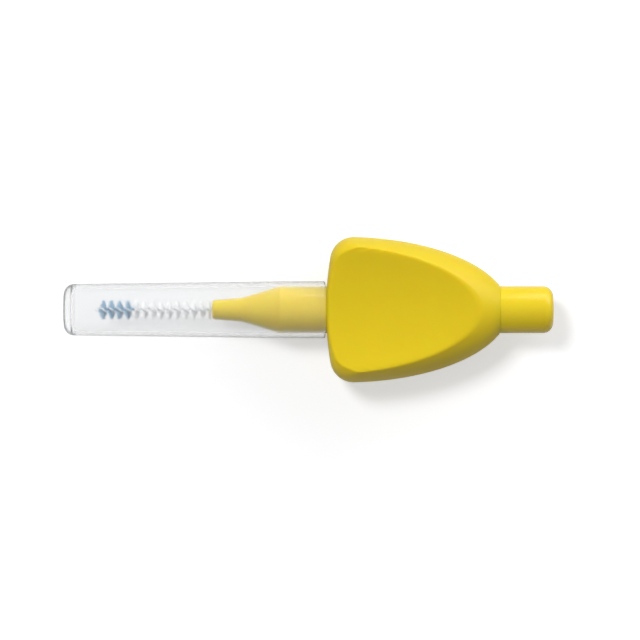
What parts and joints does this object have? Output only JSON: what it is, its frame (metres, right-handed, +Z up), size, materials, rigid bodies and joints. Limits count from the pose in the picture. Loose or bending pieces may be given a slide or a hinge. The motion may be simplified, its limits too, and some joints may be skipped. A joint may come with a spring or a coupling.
{
  "type": "interdental brush",
  "caption": "Interdental brush with a wedge finger grip dished on both sides, a twisted wire brush on a tapered neck, a rear stub and a clear push-on cap",
  "frame": {"origin": "Under the middle of the whole length with the cap on, on the plane that the grip lies on", "axes": "+X along the length from the brush to the rear stub, +Y across the finger grip, +Z up out of the upper finger dish"},
  "size_m": [0.061, 0.0182, 0.009],
  "materials": {
    "core_plastic": "glossy moulded yellow",
    "grip_plastic": "satin soft-touch yellow",
    "wire_steel": "bright drawn stainless wire",
    "white_nylon": "translucent white nylon filaments",
    "blue_nylon": "translucent steel-blue nylon filaments",
    "clear_plastic": "clear colourless, glossy"
  },
  "bodies": {
    "handle": {"handle_core": "core_plastic", "finger_grip": "grip_plastic", "core_wire": "wire_steel", "white_filaments": "white_nylon", "tip_filaments": "blue_nylon"},
    "cap": {"cap": "clear_plastic"}
  },
  "joints": [
    {"name": "cap_slide", "type": "slide", "parent": "handle", "child": "cap", "axis": [-1, 0, 0], "range_m": [0, 0.03]}
  ]
}
